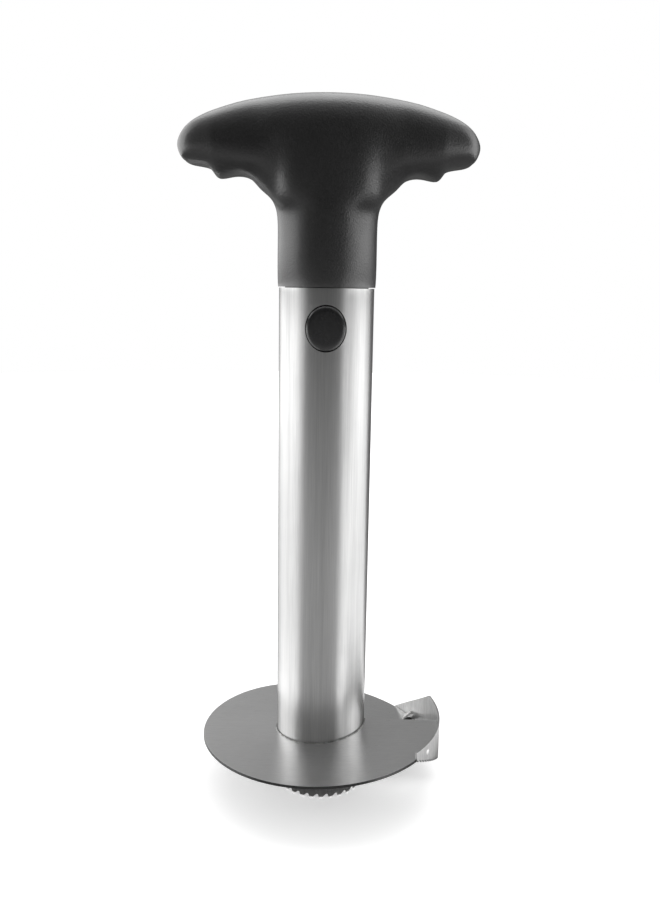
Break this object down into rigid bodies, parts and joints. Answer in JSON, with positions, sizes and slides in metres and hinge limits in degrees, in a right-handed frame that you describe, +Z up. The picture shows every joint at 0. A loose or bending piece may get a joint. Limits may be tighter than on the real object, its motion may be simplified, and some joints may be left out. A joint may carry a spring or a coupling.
{
  "type": "pineapple slicer",
  "caption": "Hand pineapple corer and slicer: toothed steel coring tube, spiral blade with an upright side blade, and a T handle that lifts out when its side buttons are pressed.",
  "frame": {"origin": "on the coring tube's axis, at the tips of its saw teeth, on which the slicer stands", "axes": "+Z up the coring tube's axis to the crown of the handle; +X along the handle's wing towards the slit of the spiral blade; the front button faces -Y"},
  "size_m": [0.1018, 0.0884, 0.2477],
  "materials": {
    "brushed_steel": "brushed",
    "screw_steel": "satin",
    "spring_steel": "satin",
    "handle_plastic": "matt",
    "button_plastic": "gloss"
  },
  "bodies": {
    "blade_tube": {"core_tube": "brushed_steel", "slicing_disc": "brushed_steel", "side_blade": "brushed_steel"},
    "handle": {"handle_front_shell": "handle_plastic", "handle_rear_shell": "handle_plastic", "handle_stem": "handle_plastic", "stem_plug": "handle_plastic", "button_spring": "spring_steel", "handle_screw_left": "screw_steel", "handle_screw_right": "screw_steel", "handle_screw_upper": "screw_steel", "handle_screw_lower": "screw_steel"},
    "front_button": {"front_button": "button_plastic"},
    "rear_button": {"rear_button": "button_plastic"}
  },
  "joints": [
    {"name": "handle_lift", "type": "slide", "parent": "blade_tube", "child": "handle", "axis": [0, 0, 1], "range_m": [0, 0.15]},
    {"name": "front_button_press", "type": "slide", "parent": "handle", "child": "front_button", "axis": [0, 1, 0], "range_m": [0, 0.0032], "stiffness_N_per_m": 600, "springref_m": -0.008, "deforming": ["button_spring"]},
    {"name": "rear_button_press", "type": "slide", "parent": "handle", "child": "rear_button", "axis": [0, -1, 0], "range_m": [0, 0.0032], "stiffness_N_per_m": 600, "springref_m": -0.008, "deforming": ["button_spring"]}
  ]
}
